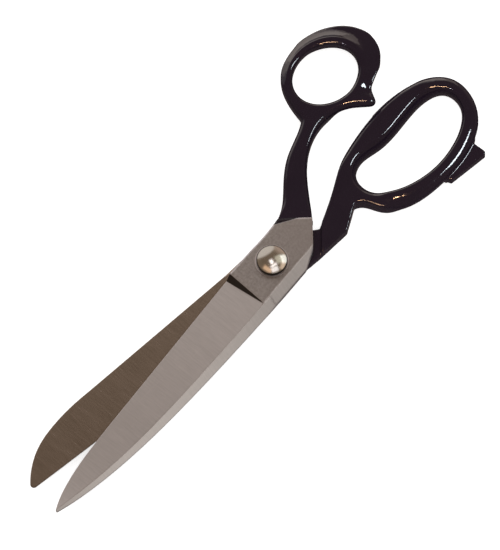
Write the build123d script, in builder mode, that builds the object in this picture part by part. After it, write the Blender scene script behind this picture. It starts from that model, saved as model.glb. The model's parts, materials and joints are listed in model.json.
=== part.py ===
from build123d import *
import os

# Bent-handled tailor's shears, 10 inches overall, in millimetres.
# The origin is on the pivot axis, in the plane that the shears rest on when they lie flat.
# +X runs from the pivot to the tips, +Y to the side of the table foot, +Z out of the domed head.
# They are drawn a little open, with the tips 5.4 degrees apart.

# Pivot
thread_diameter = 6.0
journal_diameter = 7.0
journal_clearance = 0.05
head_diameter = 13.0
head_rim = 1.4
head_undercut = 0.5
head_rise = 2.2
head_washer_diameter = 14.4
head_washer_thickness = 0.5
nut_across_flats = 10.0
nut_height = 2.2
nut_chamfer = 0.4
nut_washer_diameter = 12.5
nut_washer_thickness = 0.6
washer_play = 0.1
thrust_pad_diameter = 16.0

# Blades
blade_thickness = 5.2
hollow_relief = 0.1
face_thickness_boss = 5.0
face_thickness_tip = 1.6
edge_thickness_boss = 0.9
edge_thickness_tip = 0.4
spine_land = 0.5
spine_slope_boss = 1.2
spine_slope_tip = 0.8
blade_start_x = 12.0
blade_end_x = 145.0
shoulder_top_x = 16.0
shoulder_foot_x = 18.2
shoulder_depth = 4.2
bevel_reach = 9.0
past_edge = 0.8

# Levels
mate_z = nut_height + nut_washer_thickness + blade_thickness
blade_top_z = mate_z + blade_thickness
blade_bottom_z = mate_z - blade_thickness
head_z = blade_top_z + head_washer_thickness
thumb_bow_bottom_z = mate_z - 3.0
finger_bow_bottom_z = 0.0
finger_bow_top_z = mate_z + 1.5
nub_lap_z = finger_bow_top_z + 0.3
foot_bottom_z = 1.5
foot_top_z = 6.5
margin = 1.0
cutter_reach = 40.0

# Bows
thumb_hole_center = (-77.7, -40.2)
thumb_hole_radii = (15.3, 12.4)
thumb_hole_turn = -8.0
thumb_lap_radius = 29.0
ramp_start_x = -34.0
ramp_end_x = -44.0
thumb_edge_radius = 2.0
finger_edge_radius = 2.4

# Outlines (x, y). A blade's are drawn in its own plane, with its spine on the positive side.
thumb_edge_line = [(12.0, -9.6), (100.0, -1.8)]
thumb_edge_tip = [(100.0, -1.8), (116.0, 0.0), (128.0, 2.3), (136.5, 5.0), (140.9, 7.1)]
thumb_spine = [
    (141.2, 8.0), (133.0, 10.1), (120.0, 12.4), (100.0, 14.4), (70.0, 15.2), (40.0, 14.7), (12.0, 13.7),
]
finger_edge_line = [(12.0, -10.4), (100.0, 0.4)]
finger_edge_tip = [(100.0, 0.4), (112.0, 2.1), (126.0, 4.2), (138.3, 6.1)]
finger_tip = [(138.3, 6.1), (139.8, 7.2), (139.3, 8.9)]
finger_spine_tip = [(139.3, 8.9), (133.4, 13.5), (125.0, 17.4), (115.0, 19.2), (104.0, 19.5), (92.0, 18.5)]
finger_spine_start = (12.0, 10.9)

# Steel meets enamel on these lines
thumb_weld = [(-15.5, -11.0), (-19.8, -7.0), (-25.9, -0.7)]
finger_weld = [(-11.0, -10.6), (-7.8, 11.0)]


def along(x, at_boss, at_tip):
    """A size that changes evenly from the start of a blade to its tip."""
    share = (x - blade_start_x) / (blade_end_x - blade_start_x)
    return at_boss + (at_tip - at_boss) * share


def across(plane, x):
    """The plane across a blade at x: its x is the blade's width, its y the blade's thickness."""
    return Plane(origin=plane.origin + plane.x_dir * x, x_dir=plane.y_dir, z_dir=plane.x_dir)


def grind_corners(x, edge_y, spine_y):
    """Corners of a ground blade's section: flat face from edge to ridge, then the spine bevel."""
    height = along(x, face_thickness_boss, face_thickness_tip)
    edge_height = along(x, edge_thickness_boss, edge_thickness_tip)
    spine_slope = along(x, spine_slope_boss, spine_slope_tip)
    ridge_y = spine_y - (height - spine_land) / spine_slope
    fall = past_edge * (height - edge_height) / (ridge_y - edge_y)
    return [
        (edge_y - past_edge, 0.0),
        (edge_y - past_edge, edge_height - fall),
        (ridge_y, height),
        (ridge_y + height / spine_slope, 0.0),
    ]


def ground_blank(plane, stations):
    """The wide ground wedge that a blade's outline is cut from: stations are x, edge y, spine y."""
    with BuildPart() as blank:
        for station in stations:
            with BuildSketch(across(plane, station[0])):
                with BuildLine():
                    Polyline(*grind_corners(*station), close=True)
                make_face()
        loft()
    return blank.part


def boss_bevel(plane, line):
    """What a flat bevel takes off the boss outside a ridge line of two points (x, y)."""
    low = blade_thickness - bevel_reach * spine_slope_boss
    above = blade_thickness + margin
    with BuildPart() as cutter:
        for x, y in line:
            with BuildSketch(across(plane, x)):
                with BuildLine():
                    Polyline(
                        (y, blade_thickness),
                        (y + bevel_reach, low),
                        (y + bevel_reach, above),
                        (y, above),
                        close=True,
                    )
                make_face()
        loft()
    return cutter.part


def shoulder_cutter(plane):
    """What the ground shoulder takes off the end of the boss, sloping down to the blade."""
    side = Plane(origin=plane.origin, x_dir=plane.x_dir, z_dir=-plane.y_dir)
    foot = blade_thickness - shoulder_depth
    above = blade_thickness + margin
    with BuildPart() as cutter:
        with BuildSketch(side):
            with BuildLine():
                Polyline(
                    (shoulder_top_x, blade_thickness),
                    (shoulder_foot_x, foot),
                    (shoulder_foot_x + margin, foot),
                    (shoulder_foot_x + margin, above),
                    (shoulder_top_x, above),
                    close=True,
                )
            make_face()
        extrude(amount=cutter_reach, both=True)
    return cutter.part


def thumb_cutting_part(plane):
    """The thumb blade from its boss to its pointed tip."""
    stations = [
        (12.0, -9.6, 13.7),
        (40.0, -7.1, 14.7),
        (70.0, -4.5, 15.2),
        (100.0, -1.8, 14.4),
        (120.0, 0.0, 12.4),
        (145.0, 2.2, 7.6),
    ]
    with BuildPart() as blade:
        with BuildSketch(plane):
            with BuildLine():
                Line(*thumb_edge_line)
                Spline(*thumb_edge_tip)
                Line(thumb_edge_tip[-1], thumb_spine[0])
                Spline(*thumb_spine)
                Line(thumb_spine[-1], thumb_edge_line[0])
            make_face()
        extrude(amount=blade_thickness)
        add(ground_blank(plane, stations), mode=Mode.INTERSECT)
    return blade.part


def finger_cutting_part(plane):
    """The finger blade from its boss to its rounded tip."""
    stations = [(12.0, -10.4, 10.9), (145.0, 5.9, 23.5)]
    with BuildPart() as blade:
        with BuildSketch(plane):
            with BuildLine():
                Line(*finger_edge_line)
                Spline(*finger_edge_tip)
                ThreePointArc(*finger_tip)
                Spline(*finger_spine_tip)
                Polyline(finger_spine_tip[-1], finger_spine_start, finger_edge_line[0])
            make_face()
        extrude(amount=blade_thickness)
        add(ground_blank(plane, stations), mode=Mode.INTERSECT)
    return blade.part


def make_thumb_blade():
    plane = Plane.XY.offset(mate_z)
    bevel = boss_bevel(plane, [(-20.0, 7.4), (20.0, 10.0)])
    shoulder = shoulder_cutter(plane)
    cutting_part = thumb_cutting_part(plane)
    with BuildPart() as thumb_blade:
        with BuildSketch(plane):
            with BuildLine():
                ThreePointArc(*thumb_weld)
                Polyline(thumb_weld[2], (-16.3, 8.5), (-7.0, 12.8), (18.2, 14.0), (18.2, -9.1), (2.0, -9.8))
                Spline((2.0, -9.8), (-8.0, -10.1), thumb_weld[0])
            make_face()
        extrude(amount=blade_thickness)
        add(bevel, mode=Mode.SUBTRACT)
        add(shoulder, mode=Mode.SUBTRACT)
        add(cutting_part)
        with BuildSketch(plane):
            Circle(journal_diameter / 2 + journal_clearance)
        extrude(amount=blade_thickness, mode=Mode.SUBTRACT)
    return thumb_blade


def make_finger_blade():
    plane = Plane(origin=(0, 0, mate_z - hollow_relief), x_dir=(1, 0, 0), z_dir=(0, 0, -1))
    shoulder = shoulder_cutter(plane)
    cutting_part = finger_cutting_part(plane)
    boss_depth = blade_thickness - hollow_relief
    with BuildPart() as finger_blade:
        with BuildSketch(Plane.XY.offset(blade_bottom_z)):
            with BuildLine():
                Polyline(*finger_weld, (8.0, 11.2), (18.2, 9.7), (18.2, -11.4), (0.0, -10.6), close=True)
            make_face()
        extrude(amount=boss_depth)
        add(shoulder, mode=Mode.SUBTRACT)
        add(cutting_part)
        # thrust pad, where the two halves bear on each other
        with BuildSketch(Plane.XY.offset(mate_z - hollow_relief)):
            Circle(thrust_pad_diameter / 2)
        extrude(amount=hollow_relief)
        with BuildSketch(Plane.XY.offset(blade_bottom_z)):
            Circle(thread_diameter / 2)
        extrude(amount=blade_thickness, mode=Mode.SUBTRACT)
    return finger_blade


def make_thumb_bow():
    with BuildPart() as thumb_bow:
        with BuildSketch(Plane.XY.offset(thumb_bow_bottom_z)):
            with BuildLine():
                ThreePointArc(*thumb_weld)
                # outer side of the shank
                Spline(
                    thumb_weld[0], (-21.8, -14.2), (-31.5, -22.2), (-40.0, -27.6), (-49.0, -30.9), (-55.8, -34.2)
                )
                # ring, up to the hollow behind the nub
                Spline(
                    (-55.8, -34.2), (-57.6, -43.0), (-63.4, -53.0), (-74.5, -57.4), (-87.5, -56.0),
                    (-98.3, -49.2), (-102.9, -39.5), (-99.8, -30.0), (-92.0, -24.8), (-86.0, -22.2),
                )
                # stop nub
                Line((-86.0, -22.2), (-83.5, -17.6))
                ThreePointArc((-83.5, -17.6), (-82.2, -16.0), (-80.2, -16.2))
                Line((-80.2, -16.2), (-75.8, -20.4))
                # inner side of the shank
                Spline(
                    (-75.8, -20.4), (-70.0, -24.4), (-63.0, -26.2), (-55.6, -25.6), (-48.0, -22.6),
                    (-39.8, -16.4), (-32.8, -8.8), thumb_weld[2],
                )
            make_face()
            with Locations(thumb_hole_center):
                Ellipse(*thumb_hole_radii, rotation=thumb_hole_turn, mode=Mode.SUBTRACT)
        extrude(amount=blade_top_z - thumb_bow_bottom_z)
        round_edges = thumb_bow.edges().filter_by(GeomType.CIRCLE, reverse=True)
        fillet(round_edges.group_by(Axis.Z)[0] + round_edges.group_by(Axis.Z)[-1], thumb_edge_radius)
        # half-lap: near the pivot the shank stays above the other half
        with BuildSketch(Plane.XY.offset(thumb_bow_bottom_z)):
            Circle(thumb_lap_radius)
        extrude(amount=mate_z - thumb_bow_bottom_z, mode=Mode.SUBTRACT)
        # rebate under the nub, so that it laps over the finger bow when the shears close
        with BuildSketch(Plane.XY.offset(thumb_bow_bottom_z)):
            with BuildLine():
                Polyline((-90.0, -24.2), (-68.0, -25.0), (-68.0, -12.0), (-90.0, -12.0), close=True)
            make_face()
        extrude(amount=nub_lap_z - thumb_bow_bottom_z, mode=Mode.SUBTRACT)
    return thumb_bow


def make_finger_bow():
    below = finger_bow_bottom_z - margin
    with BuildPart() as finger_bow:
        with BuildSketch(Plane.XY.offset(finger_bow_bottom_z)):
            with BuildLine():
                # lower side of the shank, up to the crotch beside the bow
                Polyline(finger_weld[1], (-17.4, 12.0), (-32.8, 12.8), (-43.4, 7.2))
                Spline((-43.4, 7.2), (-46.2, 9.0), (-49.8, 16.0), (-53.6, 20.6), (-62.4, 25.2), (-78.2, 27.4))
                # round the back of the bow, and down its flank
                Spline(
                    (-78.2, 27.4), (-90.0, 26.8), (-101.0, 23.4), (-109.0, 17.0), (-113.2, 8.0),
                    (-112.8, -0.5), (-108.0, -7.0), (-100.4, -11.2), (-89.0, -13.8), (-77.0, -14.1),
                    (-63.0, -12.2), (-54.0, -9.8), (-44.0, -4.8), (-31.0, 1.4), (-25.6, 3.6),
                )
                Polyline((-25.6, 3.6), (-23.0, 1.6), finger_weld[0], finger_weld[1])
            make_face()
            with BuildLine():
                Spline(
                    (-52.3, 2.6), (-53.4, 8.6), (-60.2, 15.2), (-69.0, 18.9), (-80.0, 20.6), (-91.0, 19.4),
                    (-100.4, 15.8), (-106.8, 9.0), (-106.6, 1.2), (-101.0, -2.6), (-92.6, -3.5),
                    (-81.5, -2.6), (-69.5, -2.9), (-60.0, -4.3), (-54.8, -2.2),
                    periodic=True,
                )
            make_face(mode=Mode.SUBTRACT)
        extrude(amount=finger_bow_top_z - finger_bow_bottom_z)
        round_edges = finger_bow.edges().filter_by(GeomType.BSPLINE)
        fillet(round_edges.group_by(Axis.Z)[0] + round_edges.group_by(Axis.Z)[-1], finger_edge_radius)
        # half-lap: near the pivot the shank stays below the other half, as far as a straight shoulder
        with BuildSketch(Plane.XY.offset(mate_z - hollow_relief)):
            with BuildLine():
                Polyline((-30.7, 0.0), (-12.0, 17.0), (0.0, 17.0), (0.0, -15.0), (-14.0, -15.0), close=True)
            make_face()
        extrude(amount=finger_bow_top_z - mate_z + margin, mode=Mode.SUBTRACT)
        # the shank's underside is level with the blade's, and ramps down to the bow
        with BuildSketch(Plane.XZ):
            with BuildLine():
                Polyline(
                    (0.0, below),
                    (0.0, blade_bottom_z),
                    (ramp_start_x, blade_bottom_z),
                    (ramp_end_x, finger_bow_bottom_z),
                    (ramp_end_x, below),
                    close=True,
                )
            make_face()
        extrude(amount=cutter_reach, both=True, mode=Mode.SUBTRACT)
        # table foot
        with BuildSketch(Plane.XY.offset(foot_bottom_z)):
            with BuildLine():
                Polyline((-97.6, 22.5), (-98.4, 30.9), (-97.8, 31.6), (-79.8, 29.2), (-78.0, 25.0), close=True)
            make_face()
        extrude(amount=foot_top_z - foot_bottom_z)
    return finger_bow


def make_pivot_screw():
    shank_radius = journal_diameter / 2
    head_radius = head_diameter / 2
    rim_z = head_z + head_rim
    with BuildPart() as pivot_screw:
        with BuildSketch(Plane.XZ):
            with BuildLine():
                Polyline(
                    (0, rim_z + head_rise),
                    (0, 0),
                    (thread_diameter / 2, 0),
                    (thread_diameter / 2, mate_z),
                    (shank_radius, mate_z),
                    (shank_radius, head_z),
                    (head_radius - head_undercut, head_z),
                    (head_radius, head_z + head_undercut),
                    (head_radius, rim_z),
                )
                RadiusArc(
                    (head_radius, rim_z),
                    (0, rim_z + head_rise),
                    -(head_radius**2 + head_rise**2) / (2 * head_rise),
                )
            make_face()
        revolve(axis=Axis.Z)
    return pivot_screw


def make_washer(bottom_z, outer_diameter, inner_diameter, thickness):
    with BuildPart() as washer:
        with BuildSketch(Plane.XY.offset(bottom_z)):
            Circle(outer_diameter / 2)
            Circle(inner_diameter / 2, mode=Mode.SUBTRACT)
        extrude(amount=thickness)
    return washer


def make_pivot_nut():
    with BuildPart() as pivot_nut:
        with BuildSketch():
            RegularPolygon(nut_across_flats / 2, 6, major_radius=False)
        extrude(amount=nut_height)
        chamfer(pivot_nut.faces().sort_by(Axis.Z)[0].edges(), nut_chamfer)
        with BuildSketch():
            Circle(thread_diameter / 2)
        extrude(amount=nut_height, mode=Mode.SUBTRACT)
    return pivot_nut


def make_head_washer():
    bore = journal_diameter + 2 * washer_play
    return make_washer(blade_top_z, head_washer_diameter, bore, head_washer_thickness)


def make_nut_washer():
    bore = thread_diameter + 2 * washer_play
    return make_washer(nut_height, nut_washer_diameter, bore, nut_washer_thickness)


shears = {
    "thumb_blade": make_thumb_blade(),
    "thumb_bow": make_thumb_bow(),
    "finger_blade": make_finger_blade(),
    "finger_bow": make_finger_bow(),
    "pivot_screw": make_pivot_screw(),
    "head_washer": make_head_washer(),
    "nut_washer": make_nut_washer(),
    "pivot_nut": make_pivot_nut(),
}

os.makedirs("parts", exist_ok=True)
for name, made in shears.items():
    made.part.label = name
    export_step(made.part, f"parts/{name}.step")
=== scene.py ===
"""Looks of the bent-handled fabric shears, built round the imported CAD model.

The steel pieces are the CAD nodes themselves. The two enamelled bows are remodelled: each is a solid
with soft, hand-finished surfaces, described by a field that is negative inside and meshed on a fine grid.
"""

import json
import math

import bpy
import numpy as np
from mathutils import Matrix, Vector


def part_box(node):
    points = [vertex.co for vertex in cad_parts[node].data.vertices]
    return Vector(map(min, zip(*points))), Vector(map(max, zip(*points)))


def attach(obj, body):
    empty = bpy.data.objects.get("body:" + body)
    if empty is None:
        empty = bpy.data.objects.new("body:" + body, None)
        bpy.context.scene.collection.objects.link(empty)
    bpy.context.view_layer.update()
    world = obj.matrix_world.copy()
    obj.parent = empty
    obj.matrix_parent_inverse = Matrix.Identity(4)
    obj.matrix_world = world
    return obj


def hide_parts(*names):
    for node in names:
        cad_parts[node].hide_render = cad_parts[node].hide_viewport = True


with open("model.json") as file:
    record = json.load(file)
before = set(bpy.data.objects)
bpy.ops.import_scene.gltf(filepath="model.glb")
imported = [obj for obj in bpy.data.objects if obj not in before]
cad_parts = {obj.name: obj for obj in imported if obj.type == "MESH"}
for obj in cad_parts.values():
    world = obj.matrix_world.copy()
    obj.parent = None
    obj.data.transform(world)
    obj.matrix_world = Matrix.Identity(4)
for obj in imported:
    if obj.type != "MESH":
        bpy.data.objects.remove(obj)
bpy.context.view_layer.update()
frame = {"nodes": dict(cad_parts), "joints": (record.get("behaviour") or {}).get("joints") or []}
nodes = frame["nodes"]

MM = 0.001
GRID = 0.4  # mm between the points that a bow's surface is found on

# Levels that the two bows share with the steel, in mm
PIVOT_Z = frame["joints"][0]["pos_m"][2] / MM
THUMB_LOW, THUMB_HIGH = (corner.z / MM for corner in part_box("thumb_bow"))
FINGER_LOW, FINGER_HIGH = (corner.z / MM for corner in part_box("finger_bow"))
FINGER_BLADE_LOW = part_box("finger_blade")[0].z / MM
BOSS_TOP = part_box("thumb_blade")[1].z / MM
NUB_LOW = FINGER_HIGH + 0.3

# Levels where the CAD nodes are cut for their outlines: clear of every rounded edge, and through the foot
THUMB_CUT = THUMB_HIGH - 2.7
FINGER_CUT = PIVOT_Z - 1.0
FOOT_CUT = FINGER_HIGH / 2 - 1.0

# The photograph's view: the direction of its right-hand side on the table, and the tilt from straight down
VIEW_TURN = math.radians(47.5)
VIEW_TILT = math.radians(20.0)
VIEW_RIGHT = Vector((-math.cos(VIEW_TURN), math.sin(VIEW_TURN), 0.0))
VIEW_AWAY = Vector((-math.sin(VIEW_TURN), -math.cos(VIEW_TURN), 0.0))
VIEW_CENTRE = Vector((9.3, -3.9, PIVOT_Z)) * MM
VIEW_HEIGHT = 230.2 * MM  # what the camera's longer side shows
CAMERA_DISTANCE = 6.0

# Thumb ring, in mm: its bead, its dished flange, and how far they stand past the CAD rim and into its hole
BEAD_WIDTH = 2.5
BEAD_RADIUS = 1.9
BEAD_FAR_RADIUS = 0.8
FLANGE_DEPTH = 0.85
FLANGE_FAR_DEPTH = 2.6
FLANGE_REACH = 4.0
RIM_SWELL = 0.4
RIM_FAR_SWELL = 0.7
HOLE_SWELL = 0.7
RIM_PASSES = 10
SCOOP = (-84.6, -21.9)
SCOOP_DEPTH = 1.1
SCOOP_SPREAD = 2.4

# Shanks, in mm; a slope is a fall per mm
SHANK_SLOPE_WIDTH = 1.7
SHANK_SLOPE = 0.8
SHARP_EDGE = 0.2
WELD_OVERLAP = 1.0
WELD_SHRINK = 0.1
LAP_RADIUS = 29.0
LAP_PLAY = 0.1
LAP_EDGE = 0.4
RAMP_START, RAMP_END = -34.0, -44.0

# Finger loop, in mm: the ridge beside its hole, its flank, its rounded far end and lower member, its foot
RIDGE_WIDTH = 2.8
RIDGE_SLOPE = 0.75
FLANK_SLOPE = 0.1
LOOP_SWELL = 0.5
CREST_WIDTH = 1.9
WIDEST_Z = 6.0
ROUNDNESS = 2.3  # 2 is an ellipse, and more is squarer
FOOT_X = -89.2
FOOT_HALF_LENGTH = 11.0
FOOT_Z = 4.0
FOOT_HALF_THICKNESS = 2.5
FOOT_SWELL = 0.3
FOOT_ROOT = 2.0

# Places on the steel, in mm
BOSS_X = (14.0, 18.0)  # from the end of the boss to the start of the ground face
SCALE_SHADE_X = (24.0, 22.0)  # forge scale and painted shade come in from the first to the second of each pair
SCALE_SHADE_Y = (9.5, 8.5)
TOWARD_SPINE = (-0.676, 0.737, 0.0)
TOWARD_SHANK = (-0.513, -0.859, 0.0)
LIP_START = 15.35  # from the pivot, toward the shank
HEAD_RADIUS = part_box("pivot_screw")[1].x / MM
HEAD_RIM_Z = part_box("pivot_screw")[1].z / MM - 2.3


# ---------------------------------------------------------------- outlines cut from the CAD nodes


def section(node, height):
    """Line segments (n, 2, 2), in mm, where the level z = height cuts a CAD node's mesh."""
    mesh = nodes[node].data
    mesh.calc_loop_triangles()
    points = np.empty(len(mesh.vertices) * 3)
    mesh.vertices.foreach_get("co", points)
    corners = np.empty(len(mesh.loop_triangles) * 3, int)
    mesh.loop_triangles.foreach_get("vertices", corners)
    triangles = points.reshape(-1, 3)[corners.reshape(-1, 3)] / MM
    above = triangles[:, :, 2] > height
    cut = above.any(1) & ~above.all(1)
    triangles, above = triangles[cut], above[cut]
    ends, crossed = [], []
    for a, b in ((0, 1), (1, 2), (2, 0)):
        start, end = triangles[:, a], triangles[:, b]
        rise = end[:, 2] - start[:, 2]
        share = (height - start[:, 2]) / np.where(rise == 0, 1, rise)
        ends.append(start[:, :2] + share[:, None] * (end - start)[:, :2])
        crossed.append(above[:, a] != above[:, b])
    return np.stack(ends, 1)[np.stack(crossed, 1)].reshape(-1, 2, 2)


def loops(segments):
    """The closed loops that the segments make, the widest first."""
    touching = {}
    keys = [[tuple(end) for end in segment] for segment in np.round(segments, 3)]
    for i, ends in enumerate(keys):
        for end in ends:
            touching.setdefault(end, []).append(i)
    left, found = set(range(len(segments))), []
    while left:
        waiting, loop = [left.pop()], []
        while waiting:
            i = waiting.pop()
            loop.append(i)
            for j in touching[keys[i][0]] + touching[keys[i][1]]:
                if j in left:
                    left.remove(j)
                    waiting.append(j)
        found.append(segments[loop])
    return sorted(found, key=lambda loop: -np.ptp(loop.reshape(-1, 2), axis=0).max())


def distance(segments, x, y):
    """How far each point is from the nearest segment."""
    best = np.full(x.shape, np.inf)
    for (ax, ay), (bx, by) in segments:
        dx, dy = bx - ax, by - ay
        length = dx * dx + dy * dy
        if length < 1e-12:
            continue
        share = np.clip(((x - ax) * dx + (y - ay) * dy) / length, 0, 1)
        best = np.minimum(best, (x - ax - share * dx) ** 2 + (y - ay - share * dy) ** 2)
    return np.sqrt(best)


def inside(segments, x, y):
    """Whether each point is inside the closed outline."""
    odd = np.zeros(x.shape, bool)
    for (ax, ay), (bx, by) in segments:
        if ay != by:
            odd ^= ((ay > y) != (by > y)) & (x < ax + (y - ay) * (bx - ax) / (by - ay))
    return odd


def signed(segments, x, y):
    """Distance to an outline, negative inside it."""
    return np.where(inside(segments, x, y), -1, 1) * distance(segments, x, y)


def outline_with(bow, blade, x, y):
    """Distance to the outline of a bow and its blade together, negative inside, without the seam."""

    def own(segments, others):
        middle = segments.mean(1)
        return segments[distance(others, middle[:, 0], middle[:, 1]) > 0.05]

    rim = np.concatenate([own(bow, blade), own(blade, bow)])
    return np.where(inside(bow, x, y) | inside(blade, x, y), -1, 1) * distance(rim, x, y)


# ---------------------------------------------------------------- fields: negative inside, in mm


def smooth(low, high, value):
    """Rises smoothly from 0 to 1 as value goes from low to high."""
    share = np.clip((value - low) / (high - low), 0, 1)
    return share * share * (3 - 2 * share)


def both(a, b, radius):
    """What is inside both a and b, with the edge between them rounded."""
    corner = np.hypot(np.maximum(a + radius, 0), np.maximum(b + radius, 0))
    return np.minimum(np.maximum(a, b), -radius) + corner


def either(a, b, radius):
    """What is inside a or b, with the hollow between them filled to a radius."""
    corner = np.hypot(np.maximum(radius - a, 0), np.maximum(radius - b, 0))
    return np.maximum(np.minimum(a, b), radius) - corner


def sloped_edge(rim, above, width, steep, ridge_radius, edge_radius):
    """A top face that falls away over a width beside its rim, with a ridge where the slope begins."""
    slope = (above + steep * (rim + width)) / np.hypot(1, steep)
    return both(rim, both(above, slope, ridge_radius), edge_radius)


def welded(solid, from_blade):
    """A bow that ends a little way inside its blade, drawn in by a hair so that only steel shows there."""
    return np.maximum(solid + WELD_SHRINK * (1 - smooth(0, 5, from_blade)), -from_blade - WELD_OVERLAP)


def soften_corners(flat, passes):
    """A field on the plane grid with its sharp corners blurred."""
    for _ in range(passes):
        wide = np.pad(flat, 1, "edge")
        wide = (wide[:-2] + 2 * wide[1:-1] + wide[2:]) / 4
        flat = (wide[:, :-2] + 2 * wide[:, 1:-1] + wide[:, 2:]) / 4
    return flat


def bearings(loop, x, y):
    """Which way each point lies from a loop's middle: to the view's right, and away, each -1 to 1."""
    middle = loop.reshape(-1, 2).mean(0)
    far = np.maximum(np.hypot(x - middle[0], y - middle[1]), 1e-6)
    right, away = (
        ((x - middle[0]) * way.x + (y - middle[1]) * way.y) / far
        for way in (VIEW_RIGHT, VIEW_AWAY)
    )
    return right, away


def thumb_bow_field(x, y, z):
    """The thumb ring with its bead and dished flange, the stop nub and the shank."""
    outline, hole = loops(section("thumb_bow", THUMB_CUT))
    blade = loops(section("thumb_blade", THUMB_CUT))[0]
    rim = soften_corners(outline_with(outline, blade, x, y), RIM_PASSES)
    from_hole = -signed(hole, x, y)
    from_blade = signed(blade, x, y)
    right, away = bearings(hole, x, y)

    # a dished flange outside the bead, deepest on the far side of the ring and gone by the shank
    flange = smooth(-0.62, -0.12, away)
    far_side = smooth(-0.3, 0.7, 0.85 * away - 0.5 * right)
    depth = flange * (FLANGE_DEPTH + FLANGE_FAR_DEPTH * far_side)
    outside_bead = np.maximum(-from_hole - BEAD_WIDTH, 0)
    top = THUMB_HIGH - depth * (1 - np.exp(-outside_bead / FLANGE_REACH))
    rim = rim - RIM_SWELL * smooth(-0.3, 0.3, away) - RIM_FAR_SWELL * smooth(0.6, 1.0, away)
    from_hole = from_hole - HOLE_SWELL * smooth(0.0, 0.9, 0.7 * away + 0.7 * right)
    bead_radius = BEAD_RADIUS - (BEAD_RADIUS - BEAD_FAR_RADIUS) * smooth(0.2, 0.8, away)

    # a scoop where the flange runs out above the nub
    to_scoop = np.hypot(x - SCOOP[0], y - SCOOP[1])
    top = top - SCOOP_DEPTH * np.exp(-0.5 * (to_scoop / SCOOP_SPREAD) ** 2)

    # the shank's inner side has a ridge, its outer side is rounded
    shank = 1 - flange
    inner_side = smooth(-4, 1, (42 * y - 24 * x - 228) / math.hypot(42, 24)) * shank
    near_blade = smooth(0, 8, from_blade)
    slope_width = SHANK_SLOPE_WIDTH * inner_side * near_blade
    edge_radius = SHARP_EDGE + near_blade * shank * (0.8 + 1.4 * (1 - inner_side))

    x, y, rim, from_hole, from_blade, top = (a[..., None] for a in (x, y, rim, from_hole, from_blade, top))
    slope_width, edge_radius, bead_radius = (a[..., None] for a in (slope_width, edge_radius, bead_radius))
    above, below = z - top, THUMB_LOW - z
    solid = sloped_edge(rim, above, slope_width, SHANK_SLOPE, 0.3, edge_radius)
    solid = np.maximum(solid, both(rim, below, 2.0))
    solid = np.maximum(solid, both(both(from_hole, above, bead_radius), below, 4.0))

    # half-lap round the pivot, the rebate under the nub, and the end against the blade
    lap = np.minimum(LAP_RADIUS - np.hypot(x, y), PIVOT_Z - z)
    over_flank = smooth(-27.5, -24.6, y) * smooth(-58.0, -68.0, x)
    rebate = THUMB_LOW + (NUB_LOW - THUMB_LOW) * over_flank - z
    return welded(both(both(solid, rebate, 0.8), lap, LAP_EDGE), from_blade)


def rounded_member(rim, from_hole, z):
    """A rounded bar between the hole and the rim, with its crest nearer to the hole."""
    across = np.where(
        -from_hole < CREST_WIDTH,
        (CREST_WIDTH + from_hole) / CREST_WIDTH,
        (-from_hole - CREST_WIDTH) / np.maximum(-from_hole - rim - CREST_WIDTH, 1.0),
    )
    up = (z - WIDEST_Z) / np.where(z > WIDEST_Z, FINGER_HIGH - WIDEST_Z, FINGER_LOW - WIDEST_Z)
    member = ((np.abs(across) ** ROUNDNESS + up**ROUNDNESS) ** (1 / ROUNDNESS) - 1) * CREST_WIDTH
    return np.maximum(member, np.maximum(rim, from_hole))


def finger_bow_field(x, y, z):
    """The long finger bow: a broad flank with a ridge, a rounded lower member, the foot and the shank."""
    outline, hole = loops(section("finger_bow", FINGER_CUT))
    blade = loops(section("finger_blade", FINGER_CUT))[0]
    rim = outline_with(outline, blade, x, y)
    from_hole = -signed(hole, x, y)
    from_blade = signed(blade, x, y)
    foot_rim = signed(loops(section("finger_bow", FOOT_CUT))[0], x, y)

    flank = smooth(-46, -60, x) * smooth(6, -4, y)
    back = smooth(-97, -107, x)
    lower = smooth(7, 15, y) * smooth(-48, -57, x)
    rounded = 1 - (1 - back) * (1 - lower)
    top = FINGER_HIGH - FLANK_SLOPE * flank * np.maximum(-from_hole - RIDGE_WIDTH, 0)
    rim = rim - LOOP_SWELL * back
    outer_radius = 0.4 + 1.8 * flank

    x, y, rim, from_hole, from_blade, top = (a[..., None] for a in (x, y, rim, from_hole, from_blade, top))
    foot_rim, rounded, outer_radius = (a[..., None] for a in (foot_rim, rounded, outer_radius))
    above, below = z - top, FINGER_LOW - z

    # the flank and the shank are flat on top
    flat = both(rim, above, outer_radius)
    flat = np.maximum(flat, sloped_edge(from_hole, above, RIDGE_WIDTH, RIDGE_SLOPE, 0.7, 2.2))
    flat = np.maximum(flat, both(np.maximum(rim, from_hole), below, 2.2))
    solid = flat * (1 - rounded) + rounded_member(rim, from_hole, z) * rounded

    # the table foot, a plate along the lower member
    plate = both(foot_rim - FOOT_SWELL, np.abs(z - FOOT_Z) - FOOT_HALF_THICKNESS, 0.25)
    plate = np.maximum(plate, np.maximum(-FOOT_ROOT - rim, np.abs(x - FOOT_X) - FOOT_HALF_LENGTH))
    solid = either(solid, plate, 0.5)

    # half-lap beside the pivot up to a straight shoulder, the underside's ramp, and the end
    shoulder = ((x + 30.7) * 17.0 - y * 18.7) / math.hypot(17.0, 18.7)
    lap = np.minimum(shoulder, z - PIVOT_Z + LAP_PLAY)
    ramp = FINGER_BLADE_LOW * np.clip((x - RAMP_END) / (RAMP_START - RAMP_END), 0, 1) - z
    return welded(both(both(solid, lap, LAP_EDGE), ramp, LAP_EDGE), from_blade)


# ---------------------------------------------------------------- surfaces


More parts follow.
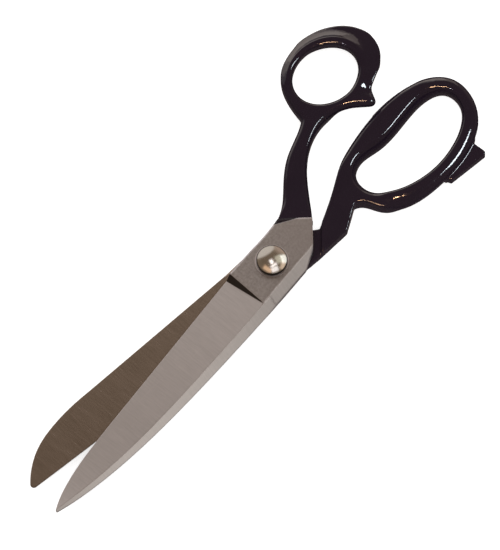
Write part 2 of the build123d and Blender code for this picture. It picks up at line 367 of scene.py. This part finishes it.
def sample(values, points):
    """Values of a grid at points given in grid steps."""
    low = np.clip(points.astype(int), 0, np.array(values.shape) - 2)
    share = points - low
    total = 0
    for corner in np.ndindex(2, 2, 2):
        at = low + corner
        weight = np.prod(np.where(corner, share, 1 - share), axis=1)
        total = total + weight * values[at[:, 0], at[:, 1], at[:, 2]]
    return total


def surface_net(field):
    """Points, in grid steps, and four-sided faces where a field on a grid is zero."""
    solid = field < 0
    shape = np.array(field.shape) - 1
    count = sum(solid[tuple(slice(o, o + n) for o, n in zip(corner, shape))].astype(int)
                for corner in np.ndindex(2, 2, 2))
    active = (count > 0) & (count < 8)
    index = np.full(active.shape, -1)
    index[active] = np.arange(active.sum())
    cells = np.argwhere(active)
    total, number = np.zeros(cells.shape), np.zeros((len(cells), 1))
    faces = []
    for axis in range(3):
        step = np.eye(3, dtype=int)[axis]
        others = [a for a in range(3) if a != axis]
        for corner in np.ndindex(2, 2):
            start = np.zeros(3, int)
            start[others] = corner
            a = field[tuple((cells + start).T)]
            b = field[tuple((cells + start + step).T)]
            crossed = ((a < 0) != (b < 0))[:, None]
            share = (a / np.where(a == b, 1, a - b))[:, None]
            total += np.where(crossed, start + share * step, 0)
            number += crossed
        inner = [slice(1, n) for n in shape]
        inner[axis] = slice(0, shape[axis])
        ahead = list(inner)
        ahead[axis] = slice(1, shape[axis] + 1)
        here, there = solid[tuple(inner)], solid[tuple(ahead)]
        edges = np.argwhere(here != there)
        edges[:, others] += 1
        ring = []
        for corner in ((0, 0), (1, 0), (1, 1), (0, 1)):
            cell = edges.copy()
            cell[:, others] -= corner
            ring.append(index[tuple(cell.T)])
        quads = np.stack(ring, 1)
        turned = here[here != there] == (axis == 1)
        faces.append(np.where(turned[:, None], quads[:, ::-1], quads))
    return cells + total / number, np.concatenate(faces)


def mesh_from_field(name, node, field_of):
    """A smooth mesh object on the surface of a field, in the place of a CAD node."""
    low, high = (np.array(corner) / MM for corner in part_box(node))

    # the grid runs three steps past the node's box
    xs, ys, zs = (np.arange(low[i] - 3 * GRID, high[i] + 4 * GRID, GRID) for i in range(3))
    x, y = np.meshgrid(xs, ys, indexing="ij")
    field = field_of(x, y, zs)
    points, faces = surface_net(field)
    gradients = np.gradient(field)
    for _ in range(3):  # closer to where the field is zero
        slope = np.stack([sample(g, points) for g in gradients], 1)
        steep = np.maximum((slope**2).sum(1), 1e-3)
        move = -(sample(field, points) / steep)[:, None] * slope
        points = points + np.clip(move, -0.5, 0.5)
    mesh = bpy.data.meshes.new(name)
    mesh.from_pydata((points * GRID + [xs[0], ys[0], zs[0]]) * MM, [], faces.tolist())
    mesh.shade_smooth()
    mesh.set_sharp_from_angle(angle=math.radians(62))
    mesh.validate()
    piece = bpy.data.objects.new(name, mesh)
    bpy.context.scene.collection.objects.link(piece)
    return piece


# ---------------------------------------------------------------- materials


class NodeTree:
    """Short ways to add nodes to a material's or the world's node tree."""

    def __init__(self, tree, place):
        self.tree = tree
        self.place = self.add("TexCoord").outputs[place]

    def join(self, node, key, value):
        """Links a socket's value to a node's input, or sets the input to a number or colour."""
        if isinstance(value, bpy.types.NodeSocket):
            self.tree.links.new(value, node.inputs[key])
        else:
            node.inputs[key].default_value = value

    def add(self, kind, inputs=(), **settings):
        """A node with its settings, and its inputs given by name or number."""
        node = self.tree.nodes.new("ShaderNode" + kind)
        for name, value in settings.items():
            setattr(node, name, value)
        for key, value in dict(inputs).items():
            self.join(node, key, value)
        return node

    def noise(self, scale, detail=3.0, roughness=0.5, stretch=(1, 1, 1)):
        """Noise from 0 to 1 that varies over 1/scale metres."""
        mapped = self.add("Mapping", {"Vector": self.place, "Scale": stretch}).outputs["Vector"]
        settings = {"Vector": mapped, "Scale": scale, "Detail": detail, "Roughness": roughness}
        return self.add("TexNoise", settings).outputs["Fac"]

    def between(self, value, low, high, start=0.0, end=1.0):
        """Maps a value from low..high to start..end, held at the ends."""
        return self.add("MapRange", {"Value": value, 1: low, 2: high, 3: start, 4: end}).outputs["Result"]

    def mix(self, share, first, second):
        """The first colour with a share of the second."""
        colours = {0: share, 6: (*first, 1) if isinstance(first, tuple) else first,
                   7: (*second, 1) if isinstance(second, tuple) else second}
        return self.add("Mix", colours, data_type="RGBA").outputs[2]

    def math(self, operation, a, b=0.0):
        """Arithmetic on two values."""
        return self.add("Math", {0: a, 1: b}, operation=operation).outputs["Value"]

    def dot(self, first, second):
        """The dot product of two vectors."""
        return self.add("VectorMath", {0: first, 1: second}, operation="DOT_PRODUCT").outputs["Value"]

    def toward(self, direction):
        """How far the place lies along a direction."""
        return self.dot(self.place, direction)


class Material(NodeTree):
    """A material's node tree with its Principled shader, whose plain settings are given by name."""

    def __init__(self, name, **settings):
        self.material = bpy.data.materials.new(name)
        self.material.use_nodes = True
        super().__init__(self.material.node_tree, "Object")
        self.surface = self.material.node_tree.nodes["Principled BSDF"]
        for socket, value in settings.items():
            self.surface.inputs[socket.replace("_", " ")].default_value = value

    def surface_is(self, socket, value):
        """Sets or links one of the shader's inputs."""
        self.join(self.surface, socket, value)

    def raised_by(self, height, depth, strength=1.0):
        """Raises the surface by a height of 0 to 1 times a depth in metres."""
        node = self.add("Bump", {"Height": height, "Strength": strength, "Distance": depth})
        self.surface_is("Normal", node.outputs["Normal"])
        return node


def black_enamel():
    """Gloss stoved enamel over forged iron: nearly black with a violet-brown cast, faintly wavy."""
    paint = Material("black_enamel", IOR=1.5)
    cloudy = paint.noise(90, detail=2)
    black = paint.mix(cloudy, (0.0092, 0.0054, 0.0110), (0.0128, 0.0082, 0.0146))
    paint.surface_is("Base Color", black)
    paint.surface_is("Roughness", paint.between(paint.noise(500, detail=4), 0.35, 0.7, 0.04, 0.09))
    waves = paint.noise(230, detail=1.5, roughness=0.4)
    ripple = paint.noise(800, detail=1.5, roughness=0.4)
    paint.raised_by(paint.mix(0.25, waves, ripple), 0.0001)
    return paint.material


def ground_steel():
    """Blades: ground faces with a fine grain across them, a rough forged boss, browner inner faces."""
    steel = Material("ground_steel")
    along, height = steel.toward((1, 0, 0)), steel.toward((0, 0, 1))
    from_mating = steel.math("ABSOLUTE", steel.math("SUBTRACT", height, (PIVOT_Z - 0.05) * MM))
    inner = steel.math("LESS_THAN", from_mating, 0.12 * MM)
    boss = steel.math("GREATER_THAN", height, (BOSS_TOP - 0.05) * MM)

    fine = steel.noise(110, detail=3, roughness=0.7, stretch=(13, 1, 1))
    bands = steel.noise(25, detail=3, roughness=0.6, stretch=(9, 0.6, 1))
    lengthwise = steel.noise(60, detail=4, roughness=0.6, stretch=(0.4, 14, 1))
    mottle = steel.noise(900, detail=5, roughness=0.65)
    grain = steel.math("ADD", steel.math("MULTIPLY", fine, 0.75), steel.math("MULTIPLY", bands, 0.25))

    ground = steel.mix(steel.between(grain, 0.35, 0.65), (0.43, 0.405, 0.393), (0.50, 0.47, 0.458))
    ground = steel.mix(steel.between(lengthwise, 0.62, 0.75, 0, 0.15), ground, (0.66, 0.62, 0.60))
    forged = steel.mix(steel.between(mottle, 0.35, 0.68), (0.49, 0.465, 0.46), (0.67, 0.645, 0.645))
    # painted shade: the forged boss goes evenly darker toward its spine side
    painted_shade_toward_spine = steel.between(steel.toward(TOWARD_SPINE), -4 * MM, 17 * MM, 0.0, 0.55)
    forged = steel.mix(painted_shade_toward_spine, forged, (0.53, 0.495, 0.49))
    polished = steel.mix(steel.between(grain, 0.3, 0.7), (0.435, 0.37, 0.305), (0.515, 0.435, 0.37))
    colour = steel.mix(inner, steel.mix(boss, ground, forged), polished)

    # edges are bright from wear, and brighter still from a painted highlight along them
    edge_radius = steel.between(along, BOSS_X[0] * MM, BOSS_X[1] * MM, 1.2 * MM, 0.25 * MM)
    rounded = steel.add("Bevel", {"Radius": edge_radius}, samples=6).outputs["Normal"]
    match = steel.dot(rounded, steel.add("NewGeometry").outputs["True Normal"])
    patchy = steel.between(mottle, 0.3, 0.6, 0.5, 1.0)
    wear_and_highlight = steel.math("MULTIPLY", steel.between(match, 0.995, 0.93), patchy)
    wear_and_highlight = steel.math("MULTIPLY", wear_and_highlight, steel.math("SUBTRACT", 1.0, inner))
    colour = steel.mix(wear_and_highlight, colour, (0.90, 0.86, 0.88))

    # dark forge scale, and painted shade in the recess, where the grinding stops at the foot of the
    # shoulder
    facing_tip = steel.dot(steel.add("TexCoord").outputs["Normal"], (1, 0, 0))
    near_boss = steel.between(along, SCALE_SHADE_X[0] * MM, SCALE_SHADE_X[1] * MM)
    inside_ridge = steel.between(steel.toward((0, 1, 0)), SCALE_SHADE_Y[0] * MM, SCALE_SHADE_Y[1] * MM)
    scale = steel.math("MULTIPLY", near_boss, inside_ridge)
    scale = steel.math("MULTIPLY", steel.between(facing_tip, 0.2, 0.4), scale)
    # the recess is darkened here with forge scale and painted shade
    colour = steel.mix(scale, colour, (0.15, 0.14, 0.135))

    # a lip of enamel runs a little way over the boss beside the outer edge of the shank
    uneven = steel.math("MULTIPLY", steel.math("SUBTRACT", mottle, 0.5), 0.5 * MM)
    onto_boss = steel.math("SUBTRACT", steel.toward(TOWARD_SHANK), LIP_START * MM)
    onto_boss = steel.math("ADD", onto_boss, uneven)
    lip = steel.math("MULTIPLY", boss, steel.between(onto_boss, -0.1 * MM, 0.1 * MM))
    steel.surface_is("Base Color", steel.mix(lip, colour, (0.0085, 0.0055, 0.0085)))
    steel.surface_is("Metallic", steel.math("SUBTRACT", 1.0, lip))

    rough = steel.between(grain, 0.3, 0.7, 0.32, 0.38)
    rough = steel.math("ADD", rough, steel.math("MULTIPLY", steel.math("MAXIMUM", boss, wear_and_highlight), 0.12))
    rough = steel.math("SUBTRACT", rough, steel.math("MULTIPLY", inner, 0.10))
    rough = steel.math("MULTIPLY", rough, steel.between(lip, 0.0, 1.0, 1.0, 0.15))
    steel.surface_is("Roughness", rough)
    relief = steel.raised_by(steel.mix(boss, fine, mottle), 0.00001, 0.4)
    steel.join(relief, "Normal", rounded)
    return steel.material


def polished_nickel():
    """The pivot screw: warm polished plate with hairline scratches."""
    nickel = Material("polished_nickel", Metallic=1.0)
    cloudy = nickel.noise(260, detail=3)
    plate = nickel.mix(cloudy, (0.74, 0.69, 0.61), (0.80, 0.76, 0.69))

    # painted shade in the groove under the head and round its rim
    flat = nickel.add("VectorMath", {0: nickel.place, 1: (1, 1, 0)}, operation="MULTIPLY")
    radius = nickel.add("VectorMath", {0: flat.outputs["Vector"]}, operation="LENGTH").outputs["Value"]
    below_rim = nickel.between(nickel.toward((0, 0, 1)), HEAD_RIM_Z * MM, (HEAD_RIM_Z - 0.4) * MM)
    at_rim = nickel.between(radius, (HEAD_RADIUS - 0.45) * MM, (HEAD_RADIUS - 0.2) * MM)
    painted_shade = nickel.math("MAXIMUM", below_rim, at_rim)
    nickel.surface_is("Base Color", nickel.mix(painted_shade, plate, (0.012, 0.01, 0.012)))
    hairlines = nickel.noise(500, detail=6, roughness=0.75, stretch=(1, 7, 1))
    nickel.surface_is("Roughness", nickel.between(hairlines, 0.35, 0.75, 0.17, 0.24))
    nickel.raised_by(cloudy, 0.00002, 0.15)
    return nickel.material


def bright_steel():
    """Washers and nut: turned steel, with rings round the pivot."""
    bright = Material("bright_steel", Metallic=1.0)
    radius = bright.add("VectorMath", {0: bright.place}, operation="LENGTH").outputs["Value"]
    settings = {"W": bright.math("MULTIPLY", radius, 9000.0), "Scale": 1.0, "Detail": 3.0}
    rings = bright.add("TexNoise", settings, noise_dimensions="1D").outputs["Fac"]
    bright.surface_is("Base Color", bright.mix(rings, (0.86, 0.83, 0.85), (0.97, 0.94, 0.96)))
    bright.surface_is("Roughness", bright.between(rings, 0.3, 0.7, 0.34, 0.44))
    return bright.material


def pale_floor():
    """The floor: pale matt paper, lifted to white by a glow of its own."""
    paper = Material("pale_floor", Roughness=0.9, Emission_Color=(1, 1, 1, 1), Emission_Strength=0.75)
    pale = paper.mix(paper.noise(180, detail=4), (0.58, 0.58, 0.58), (0.62, 0.62, 0.62))
    paper.surface_is("Base Color", pale)
    return paper.material


# ---------------------------------------------------------------- pieces


def soften_edges(node, width):
    """A slightly rounded edge on a CAD node, as wear leaves it; its own vertices stay as they are."""
    seams = node.modifiers.new("seams", "WELD")
    seams.merge_threshold = 1e-6
    bevel = node.modifiers.new("worn_edges", "BEVEL")
    bevel.width = width * MM
    bevel.segments = 2
    bevel.limit_method = "ANGLE"
    bevel.angle_limit = math.radians(20)
    normals = node.modifiers.new("flat_faces", "WEIGHTED_NORMAL")
    normals.weight = 90
    normals.keep_sharp = True


def dress(node, material):
    """Gives a CAD node its material."""
    nodes[node].data.materials.clear()
    nodes[node].data.materials.append(material)


enamel = black_enamel()
for name, node, body, field_of in (
    ("thumb_bow_enamelled", "thumb_bow", "thumb_half", thumb_bow_field),
    ("finger_bow_enamelled", "finger_bow", "finger_half", finger_bow_field),
):
    bow = mesh_from_field(name, node, field_of)
    bow.data.materials.append(enamel)
    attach(bow, body)
    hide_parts(node)

steel = ground_steel()
for node in ("thumb_blade", "finger_blade"):
    dress(node, steel)
    soften_edges(nodes[node], 0.2)
dress("pivot_screw", polished_nickel())
bright = bright_steel()
for node in ("head_washer", "nut_washer", "pivot_nut"):
    dress(node, bright)

# ---------------------------------------------------------------- stage


def towards(right, away, up):
    """A direction as the camera sees it: to its right, away from it, and up off the floor."""
    return (VIEW_RIGHT * right + VIEW_AWAY * away + Vector((0, 0, up))).normalized()


def soft_box(name, direction, distance, size, radiance, colour, seen_in=None, in_gloss=True):
    """An area light facing the shears. It is seen only in the gloss of all or some pieces, or, with
    in_gloss off, it lights only what is matt.
    """
    light = bpy.data.lights.new(name, "AREA")
    light.shape = "RECTANGLE"
    light.size, light.size_y = size
    light.energy = radiance * math.pi * size[0] * size[1]
    light.color = colour
    lamp = bpy.data.objects.new(name, light)
    lamp.location = VIEW_CENTRE + direction * distance
    lamp.rotation_mode = "QUATERNION"
    lamp.rotation_quaternion = (-direction).to_track_quat("-Z", "Y")
    lamp.visible_glossy = in_gloss
    lamp.visible_diffuse = not in_gloss
    lamp.light_linking.receiver_collection = seen_in
    bpy.context.scene.collection.objects.link(lamp)


def group(name, *pieces):
    """A collection of pieces that a light's gloss is kept to."""
    collection = bpy.data.collections.new(name)
    for piece in pieces:
        collection.objects.link(bpy.data.objects[piece])
    return collection


def make_floor():
    """A pale floor. The shears' gloss shows the room below them instead, which is a darker table."""
    half = 3.0
    corners = [(-half, -half, 0), (half, -half, 0), (half, half, 0), (-half, half, 0)]
    floor = bpy.data.objects.new("floor", bpy.data.meshes.new("floor"))
    floor.data.from_pydata(corners, [], [(0, 1, 2, 3)])
    floor.data.materials.append(pale_floor())
    floor.visible_glossy = False
    bpy.context.scene.collection.objects.link(floor)


def make_room():
    """A dim room: brown overhead, a little paler towards the walls, with one beige wall."""
    world = bpy.data.worlds.new("room")
    bpy.context.scene.world = world
    world.use_nodes = True
    room = NodeTree(world.node_tree, "Generated")

    def glow(colour, direction, inner, outer, patch):
        """Mixes in a patch of colour within an angle of a direction, soft out to a wider angle."""
        edges = (math.cos(math.radians(angle)) for angle in (outer, inner))
        return room.mix(room.between(room.toward(direction), *edges), colour, patch)

    overhead = room.between(room.toward((0, 0, 1)), 0.1, 0.95)
    colour = room.mix(overhead, (0.20, 0.16, 0.125), (0.145, 0.105, 0.075))
    colour = glow(colour, towards(0.45, 0.85, 0.12), 10, 34, (0.40, 0.31, 0.26))
    colour = glow(colour, towards(-0.48, 0.85, 0.22), 33, 37, (0.61, 0.57, 0.55))
    colour = glow(colour, Vector((0, 0, -1)), 82, 91, (0.09, 0.07, 0.07))
    room.join(world.node_tree.nodes["Background"], "Color", colour)


def make_camera():
    """A long lens far off, along the photograph's view."""
    camera = bpy.data.objects.new("camera", bpy.data.cameras.new("camera"))
    up = VIEW_AWAY * math.cos(VIEW_TILT) + Vector((0, 0, math.sin(VIEW_TILT)))
    back = Vector((0, 0, math.cos(VIEW_TILT))) - VIEW_AWAY * math.sin(VIEW_TILT)
    turn = Matrix((VIEW_RIGHT, up, back)).transposed().to_4x4()
    camera.matrix_world = Matrix.Translation(VIEW_CENTRE + back * CAMERA_DISTANCE) @ turn
    camera.data.lens = camera.data.sensor_width * CAMERA_DISTANCE / VIEW_HEIGHT
    camera.data.clip_end = 20
    bpy.context.scene.collection.objects.link(camera)
    bpy.context.scene.camera = camera


make_floor()
make_room()
make_camera()

# what the enamel mirrors
enamelled = group("enamelled", "thumb_bow_enamelled", "finger_bow_enamelled")
soft_box("window", towards(0.60, 0.06, 0.80), 1.3, (0.42, 0.20), 34, (0.84, 0.94, 1.0), enamelled)
soft_box("far_wall", towards(-0.25, 0.92, 0.30), 1.6, (2.4, 0.9), 0.9, (1.0, 0.87, 0.77), enamelled)
soft_box("far_lamp", towards(-0.28, 0.92, 0.28), 1.6, (1.5, 0.6), 1.1, (1.0, 0.87, 0.77), enamelled)
soft_box("lamps", towards(0.07, 0.10, 1.0), 1.4, (0.24, 0.04), 150, (1.0, 0.60, 0.34), enamelled)
soft_box("lamp", towards(-0.09, 0.10, 1.0), 1.4, (0.05, 0.05), 110, (0.92, 0.90, 1.0), enamelled)

# what the ground steel mirrors
ground = group("ground", "thumb_blade", "finger_blade", "head_washer")
soft_box("north_light", towards(-0.30, 0.68, 0.68), 1.5, (2.0, 1.4), 0.50, (1.0, 0.93, 0.90), ground)
soft_box("bevel_light", towards(0.83, -0.44, 0.33), 1.5, (1.5, 1.0), 1.05, (0.98, 0.96, 0.935), ground)

# what the domed head mirrors
polished = group("polished", "pivot_screw")
soft_box("pane", towards(0.80, 0.36, 0.50), 1.4, (0.8, 0.7), 1.1, (0.90, 0.97, 1.0), polished)
soft_box("pane_glow", towards(0.52, 0.30, 0.80), 1.4, (0.8, 0.8), 0.45, (0.96, 1.0, 0.88), polished)
soft_box("bulb", towards(-0.02, 0.05, 1.0), 1.4, (0.32, 0.46), 2.2, (0.97, 0.95, 1.0), polished)
soft_box("shade", towards(0.16, -0.22, 0.96), 1.4, (0.8, 0.26), 1.5, (0.97, 0.94, 1.0), polished)
soft_box("warm_wall", towards(-0.34, -0.48, 0.80), 1.4, (1.0, 0.45), 0.70, (1.0, 0.66, 0.44), polished)
soft_box("pale_wall", towards(0.24, -0.52, 0.82), 1.4, (0.8, 0.50), 1.2, (0.92, 0.93, 1.0), polished)
soft_box("corner", towards(0.76, -0.14, 0.60), 1.4, (0.8, 0.5), 0.60, (1.0, 0.80, 0.64), polished)

# plain light on what is matt: the floor, and the enamel under its gloss
soft_box("fill", towards(0.1, -0.1, 1.0), 1.6, (2.6, 2.6), 2.2, (1.0, 1.0, 1.0), in_gloss=False)

bpy.context.scene.view_settings.view_transform = "Standard"
